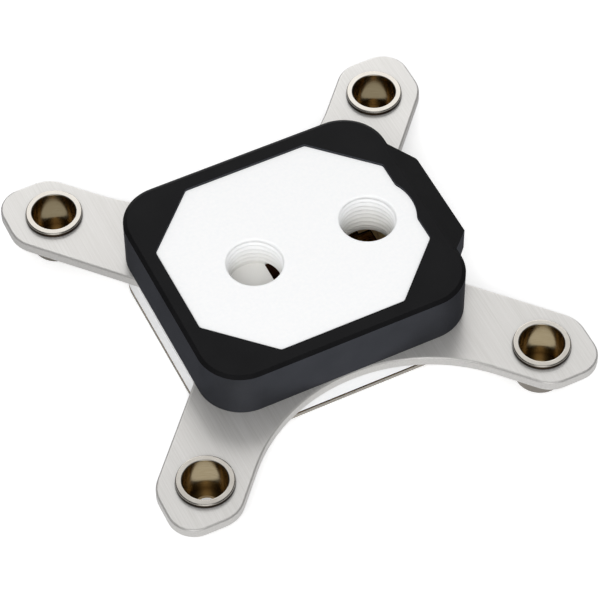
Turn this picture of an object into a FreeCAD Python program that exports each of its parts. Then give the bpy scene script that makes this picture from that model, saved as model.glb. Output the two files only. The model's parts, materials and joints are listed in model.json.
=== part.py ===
"""Liquid cooling cold plate: a square-socket water block with two threaded ports.

Millimetres, +Z up. The origin is in the contact face under the base, on the centre line of
the four mounting ferrules. X runs along the row of the two ports, from the inlet to the
outlet, and the sloped lip of the cover is on the +X side.

From the bottom up: nickel-plated copper base with fins, flat gasket, jet plate and its seal,
white housing with flange, block and ports, steel mounting plate with four ferrules, black
cover, and the countersunk screws that come in from below.
"""
import FreeCAD
import Part

import os

import Sketcher
from FreeCAD import Vector

DOC = FreeCAD.newDocument("cold_plate")

# ---------------------------------------------------------------- driving dimensions
SIZES = [
    # base and the fins on it
    ("rim_length", 61.8), ("rim_width", 54.2), ("rim_thickness", 1.2), ("rim_corner", 8.0),
    ("edge_break", 0.15),
    ("fin_length", 30.0), ("fin_height", 2.6),
    ("channel_width", 0.5), ("channel_pitch", 1.0), ("channel_count", 27),
    # gasket under the housing
    ("gasket_thickness", 0.5), ("gasket_inset", 0.25),
    # jet plate and its seal
    ("jet_plate_margin", 0.75), ("jet_plate_thickness", 0.6),
    ("jet_slot_width", 2.0), ("jet_slot_margin", 2.75),
    ("seal_thickness", 0.8), ("seal_width", 1.8), ("seal_margin", 0.5),
    # housing
    ("flange_thickness", 5.9),
    ("block_length", 54.9), ("block_width", 48.3), ("block_front", 29.0), ("block_side", 22.6),
    ("block_corner", 1.0), ("block_recess", 0.5),
    ("boss_wall", 4.4), ("boss_bulge", 1.3), ("boss_blend", 2.0),
    ("end_space", 6.5), ("cavity_corner", 5.0), ("cavity_roof", 0.7),
    ("rib_wall", 3.5), ("rib_side_space", 2.5), ("spread_margin", 1.0), ("spread_height", 2.5),
    # ports
    ("port_spacing", 27.2), ("port_row", -0.35), ("thread_radius", 6.58), ("drill_radius", 5.9),
    ("port_edge", 0.15), ("inlet_depth", 8.0), ("outlet_depth", 11.3), ("thread_runout", 1.0),
    ("chamber_margin", 0.75), ("chamber_width", 22.0),
    ("passage_width", 8.2), ("passage_overlap", 1.7), ("passage_window", 0.8),
    # mounting plate
    ("plate_thickness", 2.5), ("plate_top_edge", 0.5), ("plate_foot_edge", 0.3),
    ("plate_fit", 0.25),
    ("hole_spacing", 80.0), ("arm_angle", 48.0), ("arm_side_margin", 10.0),
    ("arm_front_margin", 9.25), ("arm_end_margin_x", 10.6), ("arm_end_margin_y", 10.4),
    ("front_waist", 56.7), ("side_waist", 60.4),
    ("shoulder_radius", 7.7), ("corner_radius", 6.0), ("toe_radius", 7.0), ("waist_radius", 4.0),
    # ferrules
    ("spigot_radius", 5.5), ("spigot_fit", 0.05), ("ferrule_height", 11.2),
    ("spigot_edge", 0.28), ("collar_reach", 0.83), ("collar_height", 1.1), ("collar_edge", 0.28),
    ("bore_radius", 4.88), ("bore_edge", 0.25), ("foot_thickness", 0.9), ("foot_hole_radius", 2.9),
    # cover
    ("cover_length", 62.6), ("cover_width", 56.4), ("cover_height", 12.4), ("cover_corner", 10.0),
    ("cover_chamfer", 0.9), ("cover_chamfer_drop", 0.55), ("cover_foot", 0.1), ("window_fit", 0.12),
    ("lip_reach", 4.7), ("lip_drop", 2.5), ("lip_face", 6.0), ("lip_outer_width", 22.6),
    ("lip_inner_width", 32.8), ("lip_round", 1.6),
    # countersunk screws
    ("screw_radius", 1.25), ("head_land", 0.1), ("head_recess", 0.05),
    ("screw_hole_fit", 0.15), ("screw_thread_fit", 0.05), ("screw_tip_gap", 0.8),
    ("screw_tip", 0.35), ("socket_radius", 0.86), ("socket_depth", 0.8),
    ("cover_screw_length", 15.0), ("base_screw_length", 5.0),
    ("cover_screw_x", 25.0), ("cover_screw_y", 20.5),
    ("side_screw_margin", 3.2), ("front_screw_x", 11.0), ("front_screw_margin", 4.5),
]

sheet = DOC.addObject("Spreadsheet::Sheet", "Sizes")
for row, (alias, value) in enumerate(SIZES, start=1):
    sheet.set(f"A{row}", alias)
    sheet.set(f"B{row}", str(value))
    sheet.setAlias(f"B{row}", alias)
DOC.recompute()


def size(alias):
    """The sheet's cell of that name, as an expression."""
    return f"Sizes.{alias}"


def number(expression):
    """What an expression over the sheet comes to."""
    return float(sheet.evalExpression(expression))


# ---------------------------------------------------------------- levels, from the bottom up
RIM_TOP = size("rim_thickness")
FIN_TOP = f"({RIM_TOP} + {size('fin_height')})"
JET_PLATE_TOP = f"({FIN_TOP} + {size('jet_plate_thickness')})"
SEAL_TOP = f"({JET_PLATE_TOP} + {size('seal_thickness')})"
FLANGE_BOTTOM = f"({RIM_TOP} + {size('gasket_thickness')})"
FLANGE_TOP = f"({FLANGE_BOTTOM} + {size('flange_thickness')})"
PLATE_TOP = f"({FLANGE_TOP} + {size('plate_thickness')})"
COVER_TOP = f"({PLATE_TOP} + {size('cover_height')})"
BLOCK_TOP = f"({COVER_TOP} - {size('block_recess')})"
CAVITY_TOP = f"({FLANGE_TOP} - {size('cavity_roof')})"
INLET_FLOOR = f"({BLOCK_TOP} - {size('inlet_depth')})"
OUTLET_BOTTOM = f"({BLOCK_TOP} - {size('outlet_depth')})"

# ---------------------------------------------------------------- places in plan
CORNERS = {"front_left": (-1, -1), "front_right": (1, -1), "back_right": (1, 1), "back_left": (-1, 1)}
HALF_SPACING = f"({size('hole_spacing')} / 2)"

# a round boss of the housing holds the outlet and stands out of the block's side
BOSS_RADIUS = f"({size('thread_radius')} + {size('boss_wall')})"
OUTLET_X = f"({size('block_length')} / 2 + {size('boss_bulge')} - {BOSS_RADIUS})"
INLET_X = f"({OUTLET_X} - {size('port_spacing')})"

# the fins have a half channel's wall at both sides
FIN_WIDTH = f"({size('channel_count')} * {size('channel_pitch')}" \
            f" + {size('channel_pitch')} - {size('channel_width')})"
JET_SLOT_LENGTH = f"({FIN_WIDTH} - 2 * {size('jet_slot_margin')})"
JET_PLATE_WIDTH = f"({FIN_WIDTH} + 2 * {size('jet_plate_margin')})"

# the coolant comes down beside the inlet's floor and spreads along the jet slot
PASSAGE_REACH = f"({size('passage_overlap')} - {size('drill_radius')} - {INLET_X})"
SPREAD_LENGTH = f"(2 * {PASSAGE_REACH})"
SPREAD_WIDTH = f"({JET_SLOT_LENGTH} + 2 * {size('spread_margin')})"
RIB_LENGTH = f"({SPREAD_LENGTH} + 2 * {size('rib_wall')})"
RIB_WIDTH = f"({SPREAD_WIDTH} + 2 * {size('rib_wall')})"
CAVITY_LENGTH = f"({size('fin_length')} + 2 * {size('end_space')})"
CAVITY_WIDTH = f"({RIB_WIDTH} + 2 * {size('rib_side_space')})"
CHAMBER_LENGTH = f"(2 * ({size('drill_radius')} + {size('chamber_margin')}))"

# screws: four long ones up into the cover, six short ones into the housing's flange
SIDE_SCREW_X = f"({size('rim_length')} / 2 - {size('side_screw_margin')})"
FRONT_SCREW_Y = f"({size('rim_width')} / 2 - {size('front_screw_margin')})"
COVER_SCREWS = {corner: (f"({sx} * {size('cover_screw_x')})", f"({sy} * {size('cover_screw_y')})")
                for corner, (sx, sy) in CORNERS.items()}
BASE_SCREWS = {corner: (f"({sx} * {size('front_screw_x')})", f"({sy} * {FRONT_SCREW_Y})")
               for corner, (sx, sy) in CORNERS.items()}
BASE_SCREWS["left"] = (f"(-{SIDE_SCREW_X})", "0")
BASE_SCREWS["right"] = (SIDE_SCREW_X, "0")
ALL_SCREWS = list(COVER_SCREWS.values()) + list(BASE_SCREWS.values())

SCREW_HOLE = f"({size('screw_radius')} + {size('screw_hole_fit')})"
SCREW_THREAD = f"({size('screw_radius')} + {size('screw_thread_fit')})"
# the 90 degree head is as deep as the rim, less a land
HEAD_RADIUS = f"({size('screw_radius')} + {size('rim_thickness')} - {size('head_land')})"
COUNTERSINK = f"({HEAD_RADIUS} + {size('head_recess')} - {SCREW_HOLE})"


# ---------------------------------------------------------------- sketches and features
def new_body(label):
    """An empty part-design body."""
    body = DOC.addObject("PartDesign::Body", label)
    body.Label = label
    return body


def new_sketch(body, name, level="0", plane="XY_Plane"):
    """A sketch on one of the body's own origin planes, lifted to a level."""
    sketch = body.newObject("Sketcher::SketchObject", name)
    origin_plane = next(f for f in body.Origin.OriginFeatures if f.Role == plane)
    sketch.AttachmentSupport = [(origin_plane, "")]
    sketch.MapMode = "FlatFace"
    sketch.setExpression("AttachmentOffset.Base.z", level)
    return sketch


def pin(sketch, geometry, point, x, y):
    """Holds one point of a sketch at the distances x and y from the sketch's origin."""
    for kind, expression in (("DistanceX", x), ("DistanceY", y)):
        value = number(expression)
        index = sketch.addConstraint(Sketcher.Constraint(kind, -1, 1, geometry, point, value))
        sketch.setExpression(f"Constraints[{index}]", expression)


def add_polygon(sketch, points):
    """A closed outline of straight lines through points given as pairs of expressions."""
    places = [Vector(number(x), number(y), 0) for x, y in points]
    first = sketch.GeometryCount
    count = len(points)
    for index in range(count):
        sketch.addGeometry(Part.LineSegment(places[index], places[(index + 1) % count]))
    for index in range(count):
        joined = first + (index + 1) % count
        sketch.addConstraint(Sketcher.Constraint("Coincident", first + index, 2, joined, 1))
    for index, (x, y) in enumerate(points):
        pin(sketch, first + index, 1, x, y)


def add_circle(sketch, radius, x="0", y="0"):
    """A circle of a given radius about a given point."""
    centre = Vector(number(x), number(y), 0)
    index = sketch.addGeometry(Part.Circle(centre, Vector(0, 0, 1), number(radius)))
    pin(sketch, index, 3, x, y)
    constraint = sketch.addConstraint(Sketcher.Constraint("Radius", index, number(radius)))
    sketch.setExpression(f"Constraints[{constraint}]", radius)


def rectangle(length, width, x="0", y="0"):
    """The corners of a rectangle about a point."""
    return [(f"({x} + {sx} * {length} / 2)", f"({y} + {sy} * {width} / 2)")
            for sx, sy in CORNERS.values()]


def extrude(body, sketch, kind, length, reverse=False):
    """A pad or a pocket of a sketch. A pocket goes down unless it is reversed."""
    feature = body.newObject(f"PartDesign::{kind}", f"{sketch.Name}_{kind.lower()}")
    feature.Profile = sketch
    feature.setExpression("Length", length)
    feature.Reversed = reverse
    sketch.Visibility = False
    DOC.recompute()
    return feature


def pad(body, name, outline, level, height):
    """A prism of a closed outline standing on a level."""
    sketch = new_sketch(body, name, level)
    add_polygon(sketch, outline)
    return extrude(body, sketch, "Pad", height)


def pocket_up(body, name, outline, level, height):
    """Cuts a prism of a closed outline upwards from a level."""
    sketch = new_sketch(body, name, level)
    add_polygon(sketch, outline)
    return extrude(body, sketch, "Pocket", height, reverse=True)


def drill(body, name, radius, places, level, depth, upwards=True):
    """Cuts round holes of one radius and depth from a level."""
    sketch = new_sketch(body, name, level)
    for x, y in places:
        add_circle(sketch, radius, x, y)
    return extrude(body, sketch, "Pocket", depth, reverse=upwards)


def revolve(body, name, profile):
    """Turns a profile of radius and height about the body's own upright axis."""
    sketch = new_sketch(body, name, plane="XZ_Plane")
    add_polygon(sketch, profile)
    turned = body.newObject("PartDesign::Revolution", f"{name}_turned")
    turned.Profile = sketch
    turned.ReferenceAxis = (sketch, ["V_Axis"])
    turned.Angle = 360
    sketch.Visibility = False
    DOC.recompute()
    return turned


def upright_edges(feature, outline, low=None):
    """Names of the feature's upright edges at the points of an outline, from a level if given."""
    places = [(number(x), number(y)) for x, y in outline]
    names = []
    for index, edge in enumerate(feature.Shape.Edges, start=1):
        box = edge.BoundBox
        upright = box.ZLength > 1e-3 and max(box.XLength, box.YLength) < 1e-4
        starts = low is None or abs(box.ZMin - number(low)) < 1e-3
        placed = any(abs(box.XMin - x) < 1e-3 and abs(box.YMin - y) < 1e-3 for x, y in places)
        if upright and starts and placed:
            names.append(f"Edge{index}")
    return names


def level_edges(feature, level, radius=None):
    """Names of the feature's edges that lie in a level, or only its circles of a radius."""
    names = []
    for index, edge in enumerate(feature.Shape.Edges, start=1):
        box = edge.BoundBox
        flat = max(abs(box.ZMin - number(level)), abs(box.ZMax - number(level))) < 1e-4
        whole = isinstance(edge.Curve, Part.Circle) and edge.isClosed()
        wanted = radius is None or whole and abs(edge.Curve.Radius - number(radius)) < 1e-4
        if flat and wanted:
            names.append(f"Edge{index}")
    return names


def dress(body, kind, name, feature, edges, amount):
    """A fillet or a chamfer of one size on named edges."""
    dressed = body.newObject(f"PartDesign::{kind}", name)
    dressed.Base = (feature, edges)
    dressed.setExpression("Radius" if kind == "Fillet" else "Size", amount)
    DOC.recompute()
    return dressed


def round_corners(body, name, feature, outline, radius, low=None):
    """Rounds the upright edges that stand at the points of an outline."""
    return dress(body, "Fillet", name, feature, upright_edges(feature, outline, low), radius)


# ---------------------------------------------------------------- outlines shared by pieces
RIM = rectangle(size("rim_length"), size("rim_width"))
FINS = rectangle(size("fin_length"), FIN_WIDTH)
CAVITY = rectangle(CAVITY_LENGTH, CAVITY_WIDTH)
CHAMBER = rectangle(CHAMBER_LENGTH, size("chamber_width"), OUTLET_X)
SPREAD = rectangle(SPREAD_LENGTH, SPREAD_WIDTH)


def octagon(fit):
    """Corners of the housing's block, with every side moved out by a fit."""
    half_length = f"({size('block_length')} / 2 + {fit})"
    half_width = f"({size('block_width')} / 2 + {fit})"
    run = f"({size('block_length')} - {size('block_front')})"
    rise = f"({size('block_width')} - {size('block_side')})"
    slant = f"sqrt({run} * {run} + {rise} * {rise})"
    front = f"({size('block_front')} / 2 + {fit} * ({slant} - {run}) / {rise})"
    side = f"({size('block_side')} / 2 + {fit} * ({slant} - {rise}) / {run})"
    return [(f"(-{front})", f"(-{half_width})"), (front, f"(-{half_width})"),
            (half_length, f"(-{side})"), (half_length, side),
            (front, half_width), (f"(-{front})", half_width),
            (f"(-{half_length})", side), (f"(-{half_length})", f"(-{side})")]


def boss_roots(fit):
    """The two places where the round boss comes out of the block's +X side."""
    side = f"({size('block_length')} / 2 + {fit})"
    radius = f"({BOSS_RADIUS} + {fit})"
    reach = f"({side} - {OUTLET_X})"
    half_chord = f"sqrt({radius} * {radius} - {reach} * {reach})"
    return [(side, f"(-{half_chord})"), (side, half_chord)]


def shape_block(body, name, kind, fit, level, height):
    """Adds the block with its boss, or cuts the opening that they pass through."""
    upwards = kind == "Pocket"
    sketch = new_sketch(body, f"{name}_octagon", level)
    add_polygon(sketch, octagon(fit))
    extrude(body, sketch, kind, height, reverse=upwards)
    boss = new_sketch(body, f"{name}_boss", level)
    add_circle(boss, f"{BOSS_RADIUS} + {fit}", OUTLET_X)
    feature = extrude(body, boss, kind, height, reverse=upwards)
    feature = round_corners(body, f"{name}_corners", feature, octagon(fit), size("block_corner"), level)
    return round_corners(body, f"{name}_blends", feature, boss_roots(fit), size("boss_blend"), level)


def cut_wet_opening(body, name, height):
    """Cuts the cavity round the fins and the chamber under the outlet, from the rim up."""
    feature = pocket_up(body, f"{name}_cavity", CAVITY, RIM_TOP, height)
    round_corners(body, f"{name}_cavity_corners", feature, CAVITY, size("cavity_corner"))
    return pocket_up(body, f"{name}_chamber", CHAMBER, RIM_TOP, height)


# ---------------------------------------------------------------- base, gasket, jet plate, seal
def make_base():
    """Copper base: thin rim with countersunk holes, and fins with open channels."""
    body = new_body("base")
    feature = pad(body, "base_rim", RIM, "0", size("rim_thickness"))
    feature = round_corners(body, "base_rim_corners", feature, RIM, size("rim_corner"))
    dress(body, "Chamfer", "base_edge", feature, level_edges(feature, "0"), size("edge_break"))
    holes = drill(body, "base_screw_holes", SCREW_HOLE, ALL_SCREWS, "0", size("rim_thickness"))
    rims = level_edges(holes, "0", SCREW_HOLE)
    dress(body, "Chamfer", "base_countersinks", holes, rims, COUNTERSINK)
    pad(body, "base_fins", FINS, RIM_TOP, size("fin_height"))

    channel = new_sketch(body, "base_channel", FIN_TOP)
    first = f"(-({size('channel_count')} - 1) * {size('channel_pitch')} / 2)"
    add_polygon(channel, rectangle(size("fin_length"), size("channel_width"), "0", first))
    channel_cut = extrude(body, channel, "Pocket", size("fin_height"))
    pattern = body.newObject("PartDesign::LinearPattern", "base_channels")
    pattern.Originals = [channel_cut]
    pattern.Direction = (channel, ["V_Axis"])
    pattern.setExpression("Length", f"({size('channel_count')} - 1) * {size('channel_pitch')}")
    pattern.setExpression("Occurrences", size("channel_count"))
    body.Tip = pattern
    DOC.recompute()
    return body


def make_gasket():
    """Flat gasket between the base's rim and the housing's flange."""
    body = new_body("base_gasket")
    inset = size("gasket_inset")
    outline = rectangle(f"({size('rim_length')} - 2 * {inset})", f"({size('rim_width')} - 2 * {inset})")
    feature = pad(body, "gasket_sheet", outline, RIM_TOP, size("gasket_thickness"))
    round_corners(body, "gasket_corners", feature, outline, f"{size('rim_corner')} - {inset}")
    cut_wet_opening(body, "gasket", size("gasket_thickness"))
    drill(body, "gasket_screw_holes", SCREW_HOLE, ALL_SCREWS, RIM_TOP, size("gasket_thickness"))
    return body


def make_jet_plate():
    """Thin plate on the fins, with the slot that spreads the coolant over them."""
    body = new_body("jet_plate")
    outline = rectangle(size("fin_length"), JET_PLATE_WIDTH)
    slot = rectangle(size("jet_slot_width"), JET_SLOT_LENGTH)
    pad(body, "jet_plate_sheet", outline, FIN_TOP, size("jet_plate_thickness"))
    pocket_up(body, "jet_plate_slot", slot, FIN_TOP, size("jet_plate_thickness"))
    return body


def make_jet_seal():
    """Rubber ring between the jet plate and the housing's rib."""
    body = new_body("jet_seal")
    opening = f"2 * {size('seal_margin')}"
    outer = f"2 * ({size('seal_margin')} + {size('seal_width')})"
    outline = rectangle(f"({SPREAD_LENGTH} + {outer})", f"({SPREAD_WIDTH} + {outer})")
    hole = rectangle(f"({SPREAD_LENGTH} + {opening})", f"({SPREAD_WIDTH} + {opening})")
    feature = pad(body, "seal_sheet", outline, JET_PLATE_TOP, size("seal_thickness"))
    round_corners(body, "seal_corners", feature, outline, size("seal_width"))
    pocket_up(body, "seal_opening", hole, JET_PLATE_TOP, size("seal_thickness"))
    return body


# ---------------------------------------------------------------- housing
def make_housing():
    """White housing: flange, octagonal block with a round boss, two ports, inner ways."""
    body = new_body("housing")
    feature = pad(body, "housing_flange", RIM, FLANGE_BOTTOM, size("flange_thickness"))
    round_corners(body, "housing_flange_corners", feature, RIM, size("rim_corner"))
    shape_block(body, "housing_block", "Pad", "0", FLANGE_TOP, f"({BLOCK_TOP} - {FLANGE_TOP})")

    cavity_height = f"({CAVITY_TOP} - {FLANGE_BOTTOM})"
    feature = pocket_up(body, "housing_cavity", CAVITY, FLANGE_BOTTOM, cavity_height)
    round_corners(body, "housing_cavity_corners", feature, CAVITY, size("cavity_corner"))
    rib = rectangle(RIB_LENGTH, RIB_WIDTH)
    pad(body, "housing_rib", rib, SEAL_TOP, f"({CAVITY_TOP} - {SEAL_TOP})")
    pocket_up(body, "housing_chamber", CHAMBER, FLANGE_BOTTOM, f"({OUTLET_BOTTOM} - {FLANGE_BOTTOM})")
    pocket_up(body, "housing_spread", SPREAD, SEAL_TOP, size("spread_height"))
    passage = rectangle(SPREAD_LENGTH, size("passage_width"), "0", size("port_row"))
    passage_height = f"({INLET_FLOOR} + {size('passage_window')} - {SEAL_TOP})"
    pocket_up(body, "housing_passage", passage, SEAL_TOP, passage_height)

    for port, x in (("inlet", INLET_X), ("outlet", OUTLET_X)):
        place = [(x, size("port_row"))]
        depth = size(f"{port}_depth")
        thread_depth = f"({depth} - {size('thread_runout')})"
        drill(body, f"{port}_bore", size("drill_radius"), place, BLOCK_TOP, depth, upwards=False)
        thread = drill(body, f"{port}_thread", size("thread_radius"), place, BLOCK_TOP,
                       thread_depth, upwards=False)
        rim = level_edges(thread, BLOCK_TOP, size("thread_radius"))
        dress(body, "Chamfer", f"{port}_edge", thread, rim, size("port_edge"))

    drill(body, "cover_screw_ways", SCREW_HOLE, COVER_SCREWS.values(), FLANGE_BOTTOM,
          size("flange_thickness"))
    thread_depth = f"({size('base_screw_length')} + {size('screw_tip_gap')} - {FLANGE_BOTTOM})"
    drill(body, "base_screw_threads", SCREW_THREAD, BASE_SCREWS.values(), FLANGE_BOTTOM, thread_depth)
    return body


# ---------------------------------------------------------------- mounting plate and ferrules
COS = f"cos({size('arm_angle')} * 1deg)"
SIN = f"sin({size('arm_angle')} * 1deg)"
TAN = f"tan({size('arm_angle')} * 1deg)"
# the arm at +X and +Y: a point on each long edge beside the ferrule, then its corners
SIDE_X = f"({HALF_SPACING} + {size('arm_side_margin')} * {SIN})"
SIDE_Y = f"({HALF_SPACING} - {size('arm_side_margin')} * {COS})"
FRONT_X = f"({HALF_SPACING} - {size('arm_front_margin')} * {SIN})"
FRONT_Y = f"({HALF_SPACING} + {size('arm_front_margin')} * {COS})"
END_X = f"({HALF_SPACING} + {size('arm_end_margin_x')})"
END_Y = f"({HALF_SPACING} + {size('arm_end_margin_y')})"
WAIST_X = f"({size('side_waist')} / 2)"
WAIST_Y = f"({SIDE_Y} - ({SIDE_X} - {WAIST_X}) * {TAN})"
SHOULDER_Y = f"({SIDE_Y} + ({END_X} - {SIDE_X}) * {TAN})"
TOE_X = f"({FRONT_X} + ({END_Y} - {FRONT_Y}) / {TAN})"
# the waist between two arms is an arc that touches both of them
FRONT_WAIST_Y = f"({size('front_waist')} / 2)"
ARC_RADIUS = f"(({SIN} * {FRONT_X} - {COS} * ({FRONT_Y} - {FRONT_WAIST_Y})) / (1 - {COS}))"
ARC_CENTRE = f"({FRONT_WAIST_Y} + {ARC_RADIUS})"
TANGENT_X = f"({ARC_RADIUS} * {SIN})"
TANGENT_Y = f"({ARC_CENTRE} - {ARC_RADIUS} * {COS})"


def mirrored(x, y):
    """The four mirror places of one point."""
    return [(f"({sx} * {x})", f"({sy} * {y})") for sx, sy in CORNERS.values()]


def plate_outline():
    """Corners of the mounting plate, one arm after another, anticlockwise from +X."""
    arm = [(WAIST_X, WAIST_Y), (END_X, SHOULDER_Y), (END_X, END_Y), (TOE_X, END_Y),
           (TANGENT_X, TANGENT_Y)]
    outline = []
    for sx, sy, points in ((1, 1, arm), (-1, 1, arm[::-1]), (-1, -1, arm), (1, -1, arm[::-1])):
        outline += [(f"({sx} * {x})", f"({sy} * {y})") for x, y in points]
    return outline


def make_mounting_plate():
    """Steel plate with four arms, an opening for the block and holes for the ferrules."""
    body = new_body("mounting_plate")
    feature = pad(body, "plate_sheet", plate_outline(), FLANGE_TOP, size("plate_thickness"))
    for name, sy in (("front_waist", -1), ("back_waist", 1)):
        waist = new_sketch(body, name, FLANGE_TOP)
        add_circle(waist, ARC_RADIUS, "0", f"({sy} * {ARC_CENTRE})")
        feature = extrude(body, waist, "Pocket", size("plate_thickness"), reverse=True)
    for name, x, y, radius in (("shoulders", END_X, SHOULDER_Y, "shoulder_radius"),
                               ("corners", END_X, END_Y, "corner_radius"),
                               ("toes", TOE_X, END_Y, "toe_radius"),
                               ("waists", WAIST_X, WAIST_Y, "waist_radius")):
        feature = round_corners(body, f"plate_{name}", feature, mirrored(x, y), size(radius))
    for name, level in (("top_edge", PLATE_TOP), ("foot_edge", FLANGE_TOP)):
        edges = level_edges(feature, level)
        feature = dress(body, "Fillet", f"plate_{name}", feature, edges, size(f"plate_{name}"))
    shape_block(body, "plate_opening", "Pocket", size("plate_fit"), FLANGE_TOP, size("plate_thickness"))
    hole = f"({size('spigot_radius')} + {size('spigot_fit')})"
    drill(body, "ferrule_holes", hole, mirrored(HALF_SPACING, HALF_SPACING), FLANGE_TOP,
          size("plate_thickness"))
    drill(body, "plate_screw_holes", SCREW_HOLE, COVER_SCREWS.values(), FLANGE_TOP,
          size("plate_thickness"))
    return body


def make_ferrule(corner, sx, sy):
    """Turned cup: collar on the plate, deep bore and a thin foot with a round hole."""
    body = new_body(f"ferrule_{corner}")
    top = size("ferrule_height")
    shoulder = f"({top} - {size('collar_height')})"
    spigot = size("spigot_radius")
    spigot_edge = size("spigot_edge")
    collar = f"({spigot} + {size('collar_reach')})"
    profile = [(size("foot_hole_radius"), "0"), (f"({spigot} - {spigot_edge})", "0"),
               (spigot, spigot_edge), (spigot, shoulder), (collar, shoulder), (collar, top),
               (size("bore_radius"), top), (size("bore_radius"), size("foot_thickness")),
               (size("foot_hole_radius"), size("foot_thickness"))]
    feature = revolve(body, f"ferrule_{corner}_profile", profile)
    for name, radius, edge in (("collar", collar, "collar_edge"),
                               ("mouth", size("bore_radius"), "bore_edge")):
        rim = level_edges(feature, top, radius)
        feature = dress(body, "Fillet", f"ferrule_{corner}_{name}", feature, rim, size(edge))
    body.setExpression("Placement.Base.x", f"{sx} * {HALF_SPACING}")
    body.setExpression("Placement.Base.y", f"{sy} * {HALF_SPACING}")
    body.setExpression("Placement.Base.z", f"{PLATE_TOP} - {shoulder}")
    return body


# ---------------------------------------------------------------- cover and screws
def make_cover():
    """Black cover: rounded frame with an octagonal window and a sloped lip."""
    body = new_body("cover")
    outline = rectangle(size("cover_length"), size("cover_width"))
    feature = pad(body, "cover_block", outline, PLATE_TOP, size("cover_height"))
    feature = round_corners(body, "cover_corners", feature, outline, size("cover_corner"))
    top_edges = level_edges(feature, COVER_TOP)
    feature = dress(body, "Chamfer", "cover_top_edge", feature, top_edges, size("cover_chamfer"))
    feature.ChamferType = "Two distances"
    feature.FlipDirection = True
    feature.setExpression("Size2", size("cover_chamfer_drop"))
    DOC.recompute()
    foot_edges = level_edges(feature, PLATE_TOP)
    dress(body, "Chamfer", "cover_foot_edge", feature, foot_edges, size("cover_foot"))

    # the lip starts at the inner edge of the chamfer and slopes down outwards
    side = f"({size('cover_length')} / 2)"
    root = f"({side} - {size('cover_chamfer')})"
    outer = f"({side} + {size('lip_reach')})"
    inner_half = f"({size('lip_inner_width')} / 2)"
    outer_half = f"({size('lip_outer_width')} / 2)"
    plan = [(root, f"(-{inner_half})"), (side, f"(-{inner_half})"), (outer, f"(-{outer_half})"),
            (outer, outer_half), (side, inner_half), (root, inner_half)]
    lip_height = f"({size('lip_drop')} + {size('lip_face')})"
    feature = pad(body, "cover_lip", plan, f"({COVER_TOP} - {lip_height})", lip_height)
    round_corners(body, "cover_lip_corner", feature, [(outer, outer_half)], size("lip_round"))
    slope = new_sketch(body, "cover_slope", plane="XZ_Plane")
    add_polygon(slope, [(root, COVER_TOP), (outer, f"({COVER_TOP} - {size('lip_drop')})"),
                        (outer, COVER_TOP)])
    slope_cut = extrude(body, slope, "Pocket", size("cover_width"))
    slope_cut.SideType = "Symmetric"
    DOC.recompute()

    shape_block(body, "cover_window", "Pocket", size("window_fit"), PLATE_TOP, size("cover_height"))
    thread_depth = f"({size('cover_screw_length')} + {size('screw_tip_gap')} - {PLATE_TOP})"
    drill(body, "cover_threads", SCREW_THREAD, COVER_SCREWS.values(), PLATE_TOP, thread_depth)
    return body


def make_screw(label, place, length):
    """Countersunk screw pointing up, its head just below flush in the base's rim."""
    body = new_body(label)
    radius = size("screw_radius")
    recess = size("head_recess")
    tip = size("screw_tip")
    profile = [("0", recess), (HEAD_RADIUS, recess),
               (radius, f"({recess} + {HEAD_RADIUS} - {radius})"), (radius, f"({length} - {tip})"),
               (f"({radius} - {tip})", length), ("0", length)]
    revolve(body, f"{label}_profile", profile)
    hexagon = [(f"({size('socket_radius')} * cos({60 * side} * 1deg))",
                f"({size('socket_radius')} * sin({60 * side} * 1deg))") for side in range(6)]
    pocket_up(body, f"{label}_socket", hexagon, recess, size("socket_depth"))
    x, y = place
    body.setExpression("Placement.Base.x", x)
    body.setExpression("Placement.Base.y", y)
    return body


# ---------------------------------------------------------------- build, check and write
def build():
    """Every piece of the cold plate, in the order it is put together."""
    pieces = [make_base(), make_gasket(), make_jet_plate(), make_jet_seal(), make_housing(),
              make_mounting_plate()]
    pieces += [make_ferrule(corner, sx, sy) for corner, (sx, sy) in CORNERS.items()]
    pieces.append(make_cover())
    pieces += [make_screw(f"cover_screw_{corner}", place, size("cover_screw_length"))
               for corner, place in COVER_SCREWS.items()]
    pieces += [make_screw(f"base_screw_{spot}", place, size("base_screw_length"))
               for spot, place in BASE_SCREWS.items()]
    DOC.recompute()
    return pieces


def check(pieces):
    """Stops on any failed feature and on any piece that is not one valid solid."""
    for item in DOC.Objects:
        if "Invalid" in item.State or "Error" in item.State:
            raise RuntimeError(f"{item.Name} failed: {item.State}")
    for piece in pieces:
        shape = piece.Shape
        if shape.isNull() or not shape.isValid() or len(shape.Solids) != 1:
            raise RuntimeError(f"{piece.Label} is not one valid solid")


def write(pieces):
    """One STEP file for each piece, named after its label."""
    os.makedirs("parts", exist_ok=True)
    for piece in pieces:
        piece.Shape.exportStep(os.path.join("parts", f"{piece.Label}.step"))
        box = piece.Shape.BoundBox
        print(f"{piece.Label:26s} {piece.Shape.Volume:9.1f} mm3, z {box.ZMin:6.2f} to {box.ZMax:6.2f}")


PIECES = build()
check(PIECES)
write(PIECES)
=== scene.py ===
"""The looks of the liquid cooling cold plate, built over its CAD frame.

The solids come in from the frame and get procedural finishes. The threads, which the solids
leave plain in the two ports, are added as surfaces worked out with numpy. Everything is in
metres, and MM turns the named sizes that are written in millimetres.
"""

import json
import math

import bpy
import numpy as np
from mathutils import Matrix, Vector


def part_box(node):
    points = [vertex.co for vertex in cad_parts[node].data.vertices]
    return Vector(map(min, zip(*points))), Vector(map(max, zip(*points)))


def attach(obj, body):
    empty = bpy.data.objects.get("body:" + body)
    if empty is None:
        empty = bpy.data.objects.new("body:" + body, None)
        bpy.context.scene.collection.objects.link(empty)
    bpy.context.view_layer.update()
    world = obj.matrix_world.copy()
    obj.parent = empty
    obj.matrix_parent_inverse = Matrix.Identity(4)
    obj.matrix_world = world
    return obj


MM = 0.001

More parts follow.
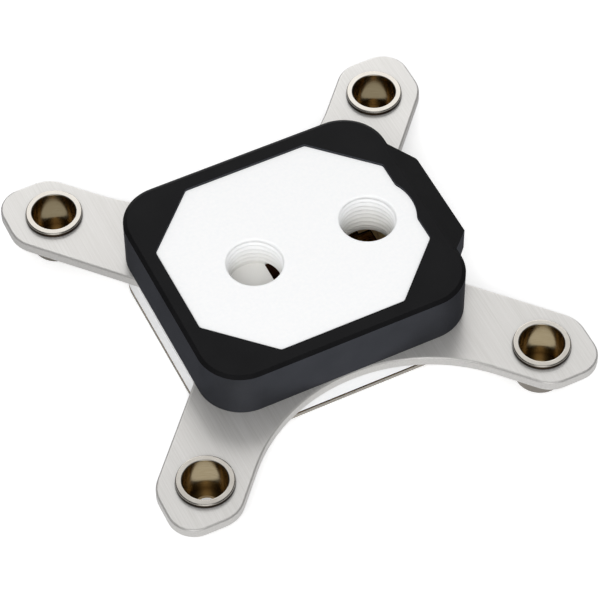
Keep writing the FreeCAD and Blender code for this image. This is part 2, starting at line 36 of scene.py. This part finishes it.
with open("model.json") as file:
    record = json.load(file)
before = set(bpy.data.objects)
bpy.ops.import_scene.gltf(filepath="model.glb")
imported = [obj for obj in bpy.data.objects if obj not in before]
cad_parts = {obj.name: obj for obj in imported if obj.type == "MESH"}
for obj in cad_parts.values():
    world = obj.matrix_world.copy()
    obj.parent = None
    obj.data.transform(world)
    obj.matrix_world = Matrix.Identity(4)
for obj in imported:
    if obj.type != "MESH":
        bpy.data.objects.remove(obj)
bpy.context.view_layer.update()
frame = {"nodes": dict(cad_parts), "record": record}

# where the frame has the places that the finishes and the threads follow
MOUNTS = {mount["name"]: mount for mount in frame["record"]["mounts"]}
FERRULE_PLACE = MOUNTS["mounting_screws"]["dims"]["spacing_x_mm"] / 2.0 * MM
FERRULE_LOW, FERRULE_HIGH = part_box("ferrule_back_right")
COLLAR_RADIUS = (FERRULE_HIGH.x - FERRULE_LOW.x) / 2.0
SHEET_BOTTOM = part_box("mounting_plate")[0].z
GASKET_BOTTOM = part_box("base_gasket")[0].z
BLOCK_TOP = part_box("housing")[1].z


# ---------------------------------------------------------------- colours and nodes
def srgb(code):
    """Linear RGBA from an sRGB hex code such as "#e6e4df"."""
    channels = [int(code[place:place + 2], 16) / 255.0 for place in (1, 3, 5)]
    linear = [c / 12.92 if c <= 0.04045 else ((c + 0.055) / 1.055) ** 2.4 for c in channels]
    return (*linear, 1.0)


def add(tree, kind, *inputs, **words):
    """A node of a kind. Its inputs come in their order, by name with _ for a space, or by
    number as in _6. Each takes a plain value, an output, or a node for its first output.
    A word in small letters is one of the node's own settings."""
    node = tree.nodes.new(kind)
    given = dict(enumerate(inputs))
    for word, value in words.items():
        if word.islower():
            setattr(node, word, value)
        else:
            given[int(word[1:]) if word[0] == "_" else word.replace("_", " ")] = value
    for place, value in given.items():
        socket = node.inputs[place]
        if isinstance(value, bpy.types.Node):
            value = value.outputs[0]
        if isinstance(value, bpy.types.NodeSocket):
            tree.links.new(value, socket)
        else:
            socket.default_value = value
    return node


def empty_tree(owner):
    """The tree of nodes of a material or a world, with nothing in it."""
    owner.use_nodes = True
    owner.node_tree.nodes.clear()
    return owner.node_tree


def between(tree, value, first, second, start=0.0, end=1.0):
    """Goes from a first number or colour to a second one while the value goes from start to
    end, and holds before and after."""
    if isinstance(first, float):
        return add(tree, "ShaderNodeMapRange", value, start, end, first, second)
    part = add(tree, "ShaderNodeMapRange", value, start, end)
    return add(tree, "ShaderNodeMix", part, _6=first, _7=second, data_type="RGBA").outputs[2]


def spot(tree):
    """Where a point lies on its piece, as a node with X, Y and Z in metres."""
    return add(tree, "ShaderNodeSeparateXYZ", add(tree, "ShaderNodeTexCoord").outputs["Object"])


# nearly all the noise of a grain lies in this span
GRAIN_SPAN = (0.3, 0.7)


def grain(tree, size, detail=2.0, roughness=0.5):
    """Noise with grains of a size in millimetres: one number, or three for X, Y and Z."""
    per_metre = 1.0 / (np.ones(3) * size * MM)
    where = add(tree, "ShaderNodeMapping", add(tree, "ShaderNodeTexCoord").outputs["Object"],
                Scale=per_metre.tolist())
    return add(tree, "ShaderNodeTexNoise", where, Scale=1.0, Detail=detail, Roughness=roughness)


def faces_up(tree, start=0.75, end=0.95):
    """0 on upright faces and 1 on level ones, by the upright part of the normal."""
    normal = add(tree, "ShaderNodeNewGeometry").outputs["Normal"]
    upward = add(tree, "ShaderNodeSeparateXYZ", normal).outputs["Z"]
    steep = add(tree, "ShaderNodeMath", upward, operation="ABSOLUTE")
    return between(tree, steep, 0.0, 1.0, start, end)


def from_middle(tree, place):
    """How far a place lies from the middle along X and along Y."""
    return [add(tree, "ShaderNodeMath", place.outputs[axis], operation="ABSOLUTE")
            for axis in ("X", "Y")]


def from_ferrule(tree):
    """The distance from the axis of the nearest ferrule, in metres."""
    along = [add(tree, "ShaderNodeMath", distance, FERRULE_PLACE, operation="SUBTRACT")
             for distance in from_middle(tree, spot(tree))]
    level = add(tree, "ShaderNodeCombineXYZ", *along)
    return add(tree, "ShaderNodeVectorMath", level, operation="LENGTH").outputs["Value"]


# ---------------------------------------------------------------- finishes
# Each function is named for its finish and says what goes into its shader's inputs.
# a ring of painted shade round where each ferrule's collar sits on the sheet: its edge, and the
# width over which it fades
COLLAR_SHADE_LINE = COLLAR_RADIUS + 0.09 * MM
COLLAR_SHADE_WIDTH = 0.10 * MM


def belt_ground_stainless_sheet(tree):
    """Stainless sheet, belt ground along Y: hair lines 0.3 mm apart, drawn coarser than real
    ones so that they show, over broad soft bands. Its cut edges have a plain fine grain, and
    a thin ring of painted shade lies where each ferrule's collar sits. The ground face is
    half matt, like fine satin, and being not quite all metal gives it the white haze of its
    scratches."""
    hair = grain(tree, (0.303, 16.7, 16.7), 3.0, 0.65)
    bands = grain(tree, (2.38, 111.0, 111.0))
    lines = add(tree, "ShaderNodeMath", bands, 0.3, hair, operation="MULTIPLY_ADD")
    ground = between(tree, lines, srgb("#e9e7e3"), srgb("#f7f5f2"), 0.45, 0.85)
    cut = between(tree, grain(tree, 0.385), srgb("#dddbd8"), srgb("#e8e6e3"), *GRAIN_SPAN)
    level = faces_up(tree)
    clean = between(tree, level, cut, ground)
    # painted shade: a dark ring on the sheet round the foot of each ferrule's collar
    collar_shade = between(tree, from_ferrule(tree), 0.5, 0.0, COLLAR_SHADE_LINE, COLLAR_SHADE_LINE + COLLAR_SHADE_WIDTH)
    relief = add(tree, "ShaderNodeMath", hair, level, operation="MULTIPLY")
    return {
        "Base_Color": between(tree, collar_shade, clean, srgb("#1c1713")),
        "Metallic": 0.72,
        "Roughness": between(tree, hair, 0.30, 0.38, *GRAIN_SPAN),
        "Normal": add(tree, "ShaderNodeBump", Strength=0.05, Distance=0.012 * MM, Height=relief),
    }


def black_anodised_aluminium(tree):
    """Aluminium anodised black: the top is bead blasted, a dull black with a grain of 0.15 mm,
    and the milled sides mirror the floor softly with a bluish sheen."""
    grit = grain(tree, 0.154)
    clouds = grain(tree, 7.14)
    mottle = add(tree, "ShaderNodeMath", clouds, 0.6, grit, operation="MULTIPLY_ADD")
    blasted = between(tree, mottle, srgb("#0d0d0e"), srgb("#151516"), 0.5, 1.0)
    milled = between(tree, mottle, srgb("#494b50"), srgb("#54565c"), 0.5, 1.0)
    level = faces_up(tree, 0.55, 0.75)
    return {
        "Base_Color": between(tree, level, milled, blasted),
        "Metallic": between(tree, level, 0.85, 0.0),
        "Roughness": between(tree, grit, 0.44, 0.54, *GRAIN_SPAN),
        "Specular_IOR_Level": 0.26,
        "Specular_Tint": srgb("#b0b0b4"),
        "Normal": add(tree, "ShaderNodeBump", Strength=0.2, Distance=0.012 * MM, Height=grit),
    }


# the colours inside: how high the dark brown and the tan stand under each port, where along X
# the one level turns into the other, and how far out they and the shade reach; and the
# painted shade down the ports, from where it starts to its full
INLET_TONE_TOP = BLOCK_TOP - 8.1 * MM
OUTLET_TONE_TOP = BLOCK_TOP - 11.3 * MM
TONES_MEET = 6.0 * MM
INSIDE_REACH = 24.6 * MM
PORT_SHADE_TOP = BLOCK_TOP - 2.0 * MM
PORT_SHADE_FULL = BLOCK_TOP - 11.0 * MM


def milled_white_acetal(tree):
    """Acetal, milled: a waxy white with faint mill marks. Inside, its ways are dark brown below
    the inlet and tan below the outlet, and painted shade greys the ports more the deeper they
    go. The outer faces are clean."""
    marks = grain(tree, 0.714, 3.0)
    place = spot(tree)
    farthest = add(tree, "ShaderNodeMath", *from_middle(tree, place), operation="MAXIMUM")
    within = between(tree, farthest, 1.0, 0.0, INSIDE_REACH, INSIDE_REACH + 1.0 * MM)
    # dark brown inside below the inlet and tan below the outlet, each up to its level
    to_outlet = between(tree, place.outputs["X"], 0.0, 1.0, TONES_MEET, TONES_MEET + 0.1 * MM)
    tone_top = between(tree, to_outlet, INLET_TONE_TOP, OUTLET_TONE_TOP)
    below = add(tree, "ShaderNodeMath", place.outputs["Z"], tone_top, operation="LESS_THAN")
    toned = add(tree, "ShaderNodeMath", within, below, operation="MULTIPLY")
    clouds = grain(tree, 2.0, 4.0)
    inlet_tone = between(tree, clouds, srgb("#2c150c"), srgb("#4a2a18"), *GRAIN_SPAN)
    outlet_tone = between(tree, clouds, srgb("#b09260"), srgb("#d9bd8b"), *GRAIN_SPAN)
    port_tone = between(tree, to_outlet, inlet_tone, outlet_tone)
    # painted shade: greyer further down the ports
    deeper = between(tree, place.outputs["Z"], 0.0, 1.0, PORT_SHADE_TOP, PORT_SHADE_FULL)
    port_shade = add(tree, "ShaderNodeMath", within, deeper, operation="MULTIPLY")
    clean = between(tree, marks, srgb("#f3f4f5"), srgb("#f7f7f7"), *GRAIN_SPAN)
    port_shaded = between(tree, port_shade, clean, srgb("#d7d5cf"))
    return {
        "Base_Color": between(tree, toned, port_shaded, port_tone),
        "Roughness": between(tree, marks, 0.38, 0.48, *GRAIN_SPAN),
        "IOR": 1.48,
        "Normal": add(tree, "ShaderNodeBump", Strength=0.08, Distance=0.01 * MM, Height=marks),
    }


CUP_BORE = 4.9 * MM
COLLAR_SIDE = COLLAR_RADIUS - 0.11 * MM
COLLAR_EDGE = FERRULE_HIGH.z - 0.28 * MM
# painted shade: how high it browns the bore, where the bore's brass colour is full, and how far
# down the foot below the sheet it fades
BORE_SHADE_TO = 0.9 * MM
BRASSY_FROM = 3.0 * MM
FOOT_SHADE_FADE = 2.5 * MM


def turned_nickel_plated_brass(tree):
    """Brass turned on a lathe and nickel plated, with rings of tool marks 0.12 mm apart: cream
    bright on its rims, and thin plating with the brass showing through in the bore. Painted shade
    turns the bore brown near its foot, a painted dark shade and reflection lies on the collar's
    side, and painted shade lies on the foot below the sheet."""
    rings = grain(tree, (2.5, 2.5, 0.125))
    radius = from_ferrule(tree)
    height = spot(tree).outputs["Z"]
    on_side = between(tree, radius, 0.0, 1.0, COLLAR_SIDE, COLLAR_SIDE + 0.05 * MM)
    under_edge = between(tree, height, 1.0, 0.0, COLLAR_EDGE - 0.08 * MM, COLLAR_EDGE)
    # painted dark shade and reflection on the collar's side, below its rounded edge
    collar = add(tree, "ShaderNodeMath", on_side, under_edge, operation="MULTIPLY")
    # painted shade on the foot below the sheet, darkest just under the sheet
    up_foot = between(tree, height, 0.55, 0.9, SHEET_BOTTOM - FOOT_SHADE_FADE, SHEET_BOTTOM)
    below = add(tree, "ShaderNodeMath", height, SHEET_BOTTOM, operation="LESS_THAN")
    foot = add(tree, "ShaderNodeMath", up_foot, below, operation="MULTIPLY")
    # where the painted dark shade and reflection lie, on the collar's side and on the foot
    painted_dark = add(tree, "ShaderNodeMath", collar, foot, operation="MAXIMUM")
    plated = between(tree, rings, srgb("#dfd9d0"), srgb("#ebe6dd"), *GRAIN_SPAN)
    painted_dark_colour = between(tree, rings, srgb("#2a1e14"), srgb("#483828"), *GRAIN_SPAN)
    brassy = between(tree, rings, srgb("#bfac88"), srgb("#d0c09c"), *GRAIN_SPAN)
    # painted shade: the bore turns brown towards its foot
    bore_shade = between(tree, rings, srgb("#85704e"), srgb("#9c8560"), *GRAIN_SPAN)
    bore = between(tree, height, bore_shade, brassy, BORE_SHADE_TO, BRASSY_FROM)
    outside = between(tree, painted_dark, plated, painted_dark_colour)
    return {
        "Base_Color": between(tree, radius, bore, outside, CUP_BORE, CUP_BORE + 0.1 * MM),
        "Metallic": 1.0,
        "Roughness": between(tree, rings, 0.12, 0.20, *GRAIN_SPAN),
        "Normal": add(tree, "ShaderNodeBump", Strength=0.15, Distance=0.006 * MM, Height=rings),
    }


PLATING_TOP = GASKET_BOTTOM - 0.05 * MM


def nickel_plated_lapped_copper(tree):
    """Copper base: outside lapped and nickel plated, a warm grey with fine scratches along X,
    and inside, from the gasket's level up, bare copper turned brown by the coolant."""
    scratches = grain(tree, (3.33, 0.192, 0.192), 3.0, 0.6)
    plated = between(tree, scratches, srgb("#c4bdb2"), srgb("#d3cdc3"), *GRAIN_SPAN)
    bare = between(tree, grain(tree, 2.22, 4.0), srgb("#a07a4c"), srgb("#c29c68"), *GRAIN_SPAN)
    height = spot(tree).outputs["Z"]
    return {
        "Base_Color": between(tree, height, plated, bare, PLATING_TOP, PLATING_TOP + 0.04 * MM),
        "Metallic": 1.0,
        "Roughness": between(tree, scratches, 0.22, 0.34, *GRAIN_SPAN),
        "Normal": add(tree, "ShaderNodeBump", Strength=0.15, Distance=0.004 * MM,
                      Height=scratches),
    }


def rolled_copper(tree):
    """Bare rolled copper, turned brown a little by the coolant in patches of 2 mm."""
    patches = grain(tree, 2.22, 4.0, 0.6)
    return {
        "Base_Color": between(tree, patches, srgb("#9c6440"), srgb("#c08a5c"), *GRAIN_SPAN),
        "Metallic": 1.0,
        "Roughness": between(tree, patches, 0.28, 0.45, *GRAIN_SPAN),
    }


def black_rubber_sheet(tree):
    """Black rubber sheet: matt, with a slight grain."""
    skin = grain(tree, 0.333)
    return {
        "Base_Color": between(tree, skin, srgb("#161514"), srgb("#242220"), *GRAIN_SPAN),
        "Roughness": between(tree, skin, 0.68, 0.80, *GRAIN_SPAN),
        "Normal": add(tree, "ShaderNodeBump", Strength=0.2, Distance=0.02 * MM, Height=skin),
    }


def cold_formed_stainless(tree):
    """Plain stainless of small screws, cold formed: smooth with a faint grain."""
    skin = grain(tree, 0.4)
    return {
        "Base_Color": between(tree, skin, srgb("#9c9b9a"), srgb("#b4b3b1"), *GRAIN_SPAN),
        "Metallic": 1.0,
        "Roughness": between(tree, skin, 0.25, 0.35, *GRAIN_SPAN),
    }


def finish(describe):
    """The material with the name and the looks of the function that describes it."""
    material = bpy.data.materials.new(describe.__name__)
    tree = empty_tree(material)
    shader = add(tree, "ShaderNodeBsdfPrincipled", **describe(tree))
    add(tree, "ShaderNodeOutputMaterial", shader)
    return material


FINISH = {
    "base": finish(nickel_plated_lapped_copper),
    "base_gasket": finish(black_rubber_sheet),
    "jet_plate": finish(rolled_copper),
    "housing": finish(milled_white_acetal),
    "mounting_plate": finish(belt_ground_stainless_sheet),
    "ferrule": finish(turned_nickel_plated_brass),
    "cover": finish(black_anodised_aluminium),
    "screw": finish(cold_formed_stainless),
}
FINISH["jet_seal"] = FINISH["base_gasket"]


def finish_of(node):
    """The finish of a solid, by its name or else by the kind of piece in its name."""
    kinds = (node, "ferrule", "screw")
    return FINISH[next(kind for kind in kinds if kind in FINISH and kind in node)]


for node_name, piece in frame["nodes"].items():
    piece.data.materials.clear()
    piece.data.materials.append(finish_of(node_name))


# ---------------------------------------------------------------- threads in the ports
PITCH = 1.337 * MM
CREST_RADIUS = 5.92 * MM
RIM_RADIUS = 6.95 * MM
BACKING_RADIUS = 8.2 * MM
PORT_EDGE = 0.15 * MM
MOUTH_ROUND = 0.35 * MM
RIM_LIFT = 0.004 * MM
FADE_IN = 2.2 * MM
CLOSE_IN = 0.7 * MM
ROWS_PER_PITCH = 24
MOUTH_ROWS = 8
COLUMNS = 144
SHARP_ANGLE = math.radians(40.0)


def closed_tube(name, inner, outer, heights, centre):
    """A tube about an upright axis. Inner and outer are grids of radii over the heights, from
    the top down, and over angles all round; a ring of faces closes it at each end. All faces
    point out of the wall."""
    rows, columns = inner.shape
    angle = np.arange(columns) * 2.0 * np.pi / columns
    radius = np.concatenate((inner, outer[::-1]))
    height = np.concatenate((heights, heights[::-1]))[:, None] * np.ones(columns)
    points = np.stack((centre[0] + radius * np.cos(angle),
                       centre[1] + radius * np.sin(angle), height), axis=-1)
    ring = np.arange(2 * rows)[:, None]
    next_ring = (ring + 1) % (2 * rows)
    column = np.arange(columns)[None, :]
    next_column = (column + 1) % columns
    faces = np.stack((ring * columns + column, ring * columns + next_column,
                      next_ring * columns + next_column, next_ring * columns + column), axis=-1)
    mesh = bpy.data.meshes.new(name)
    mesh.from_pydata(points.reshape(-1, 3).tolist(), [], faces.reshape(-1, 4).tolist())
    mesh.polygons.foreach_set("use_smooth", np.ones(len(mesh.polygons), dtype=bool))
    mesh.set_sharp_from_angle(angle=SHARP_ANGLE)
    tube = bpy.data.objects.new(name, mesh)
    bpy.context.scene.collection.objects.link(tube)
    return tube


def thread(name, port):
    """An inner pipe thread in a port, from the block's top to the end of the port's thread.

    Radius = mean + half depth x cosine of the turn, where the turn grows by one with each
    pitch of depth and each time round. The wave fades in from the mean radius below the top,
    and the thread closes in to the crest above the drilled hole that goes on. The mouth opens
    by a quarter round, flush with the block's top.
    """
    root_radius = port["dims"]["r_mm"] * MM
    depth = PORT_EDGE + port["dims"]["length_mm"] * MM
    rows = int(depth / PITCH * ROWS_PER_PITCH)
    down = np.concatenate((np.linspace(0.0, MOUTH_ROUND, MOUTH_ROWS, endpoint=False),
                           np.linspace(MOUTH_ROUND, depth, rows)))
    turn = np.arange(COLUMNS) / COLUMNS
    mean = (root_radius + CREST_RADIUS) / 2.0
    half_depth = (root_radius - CREST_RADIUS) / 2.0
    wave = np.cos(2.0 * np.pi * (down[:, None] / PITCH + turn[None, :]))
    fade_in = np.clip(down / FADE_IN, 0.0, 1.0)[:, None]
    close_in = np.clip((depth - down) / CLOSE_IN, 0.0, 1.0)[:, None]
    inner = mean + half_depth * wave * fade_in
    inner = CREST_RADIUS + (inner - CREST_RADIUS) * close_in
    up_mouth = np.clip((MOUTH_ROUND - down) / MOUTH_ROUND, 0.0, 1.0)[:, None]
    inner = inner + MOUTH_ROUND * (1.0 - np.sqrt(1.0 - up_mouth ** 2))
    outer = np.full_like(inner, BACKING_RADIUS)
    outer[down < MOUTH_ROUND] = RIM_RADIUS
    piece = closed_tube(name, inner, outer, BLOCK_TOP + RIM_LIFT - down, port["pos_m"])
    piece.data.materials.append(FINISH["housing"])
    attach(piece, "root")


for port_name in ("inlet", "outlet"):
    thread(f"{port_name}_thread", MOUNTS[f"{port_name}_port"])


# ---------------------------------------------------------------- camera
VIEW_TURN = -25.504
VIEW_RISE = 52.859
VIEW_ROLL = -0.675
VIEW_DISTANCE = 663.195 * MM
LOOK_AT = (-0.611 * MM, -4.341 * MM, 8.033 * MM)
LENS = 181.57
SENSOR = 36.0


def make_camera():
    """The camera on a sphere about the point that it looks at, level apart from a small roll."""
    turn, rise, roll = (math.radians(angle) for angle in (VIEW_TURN, VIEW_RISE, VIEW_ROLL))
    right = Vector((math.cos(turn), math.sin(turn), 0.0))
    back = Vector((math.sin(turn) * math.cos(rise), -math.cos(turn) * math.cos(rise),
                   math.sin(rise)))
    up = back.cross(right)
    rolled_right = math.cos(roll) * right + math.sin(roll) * up
    rolled_up = math.cos(roll) * up - math.sin(roll) * right
    data = bpy.data.cameras.new("view")
    data.lens = LENS
    data.sensor_width = SENSOR
    data.clip_start = 0.01
    data.clip_end = 20.0
    camera = bpy.data.objects.new("view", data)
    turned = Matrix((rolled_right, rolled_up, back)).transposed().to_4x4()
    camera.matrix_world = Matrix.Translation(Vector(LOOK_AT) + back * VIEW_DISTANCE) @ turned
    bpy.context.scene.collection.objects.link(camera)
    bpy.context.scene.camera = camera


# ---------------------------------------------------------------- light and floor
WHITE = srgb("#ffffff")
WORLD_LIGHT = 0.62

# what shiny faces mirror: a ceiling, a panel behind and one in front, and a dark flag at each
# side, each with its direction, the cosines between which it fades, and its strength
CEILING_SHINE = 0.28
BACK_PANEL_AT = (0.30, 0.85, 0.43)
BACK_PANEL_FADE = (0.81, 0.93)
BACK_PANEL_SHINE = 1.30
FRONT_PANEL_AT = (-0.33, -0.72, 0.60)
FRONT_PANEL_FADE = (0.90, 1.0)
FRONT_PANEL_SHINE = 0.95
FLAGS_AT = (0.90, -0.43, 0.0)
FLAGS_FADE = (0.251, 0.451)
FLAGS_SHINE = 0.18

# the floor, and the card that shiny faces see on it, which turns darker along Y
FLOOR_HALF = 3.0
FLOOR_LIFT = 0.35
CARD_TURNS = (-35.0 * MM, -10.0 * MM)
CARD_FRONT_SHINE = 0.60
CARD_BACK_SHINE = 0.40

# where each softbox stands, in metres, the length of its sides and its power in watts
SOFTBOXES = {
    "front_softbox": ((-0.40, -0.70, 0.85), 0.5, 7.0),
    "top_softbox": ((-0.20, 0.10, 1.10), 0.8, 1.0),
}


def make_softbox(name, place, side, power):
    """A square lamp that faces the object. Shiny faces mirror the tent's panels in its place."""
    data = bpy.data.lights.new(name, "AREA")
    data.size = side
    data.energy = power
    lamp = bpy.data.objects.new(name, data)
    lamp.location = place
    lamp.visible_glossy = False
    lamp.rotation_euler = Vector(place).to_track_quat("Z", "Y").to_euler()
    bpy.context.scene.collection.objects.link(lamp)


def kinds_of_ray(tree):
    """1 on rays that the camera sees straight or through glass, and 1 on glossy rays."""
    path = add(tree, "ShaderNodeLightPath")
    seen = add(tree, "ShaderNodeMath", path.outputs["Is Camera Ray"],
               path.outputs["Is Transmission Ray"], operation="MAXIMUM")
    return seen, path.outputs["Is Glossy Ray"]


def turned_to(tree, direction):
    """The cosine between a ray to the world and a direction."""
    ray = add(tree, "ShaderNodeTexCoord").outputs["Generated"]
    return add(tree, "ShaderNodeVectorMath", ray, Vector(direction).normalized(),
               operation="DOT_PRODUCT").outputs["Value"]


def make_world():
    """A white tent: even light, white to the camera, and for shiny faces a dim ceiling with
    one bright panel behind, a soft one over the camera and a dark flag at each side."""
    world = bpy.data.worlds.new("studio")
    bpy.context.scene.world = world
    tree = empty_tree(world)
    seen, glossy = kinds_of_ray(tree)
    behind = between(tree, turned_to(tree, BACK_PANEL_AT), CEILING_SHINE, BACK_PANEL_SHINE,
                     *BACK_PANEL_FADE)
    in_front = between(tree, turned_to(tree, FRONT_PANEL_AT), 0.0, FRONT_PANEL_SHINE,
                       *FRONT_PANEL_FADE)
    panels = add(tree, "ShaderNodeMath", behind, in_front, operation="ADD")
    sideways = add(tree, "ShaderNodeMath", turned_to(tree, FLAGS_AT), operation="ABSOLUTE")
    flags = between(tree, sideways, 1.0, FLAGS_SHINE, *FLAGS_FADE)
    shine = add(tree, "ShaderNodeMath", panels, flags, operation="MULTIPLY")
    light, mirrored, white = (add(tree, "ShaderNodeBackground", WHITE, strength)
                              for strength in (WORLD_LIGHT, shine, 1.0))
    unseen = add(tree, "ShaderNodeMixShader", glossy, light, mirrored)
    add(tree, "ShaderNodeOutputWorld", add(tree, "ShaderNodeMixShader", seen, unseen, white))


def make_floor():
    """A floor of pale paper that keeps the shadow and is lifted to white where the camera sees
    it. Shiny faces see a card on it that is pale in front and darker behind."""
    mesh = bpy.data.meshes.new("floor")
    corners = [(x * FLOOR_HALF, y * FLOOR_HALF, 0.0)
               for x, y in ((-1, -1), (1, -1), (1, 1), (-1, 1))]
    mesh.from_pydata(corners, [], [(0, 1, 2, 3)])
    floor = bpy.data.objects.new("floor", mesh)
    bpy.context.scene.collection.objects.link(floor)
    material = bpy.data.materials.new("floor_paper")
    tree = empty_tree(material)
    seen, glossy = kinds_of_ray(tree)
    paper = add(tree, "ShaderNodeBsdfDiffuse", srgb("#f4f4f4"))
    lift = add(tree, "ShaderNodeMath", seen, FLOOR_LIFT, operation="MULTIPLY")
    lifted = add(tree, "ShaderNodeAddShader", paper,
                 add(tree, "ShaderNodeEmission", WHITE, lift))
    shine = between(tree, spot(tree).outputs["Y"], CARD_FRONT_SHINE, CARD_BACK_SHINE, *CARD_TURNS)
    card = add(tree, "ShaderNodeEmission", WHITE, shine)
    add(tree, "ShaderNodeOutputMaterial",
        add(tree, "ShaderNodeMixShader", glossy, lifted, card))
    mesh.materials.append(material)


make_camera()
make_world()
make_floor()
for box_name, (box_place, box_side, box_power) in SOFTBOXES.items():
    make_softbox(box_name, box_place, box_side, box_power)
bpy.context.scene.view_settings.view_transform = "Standard"
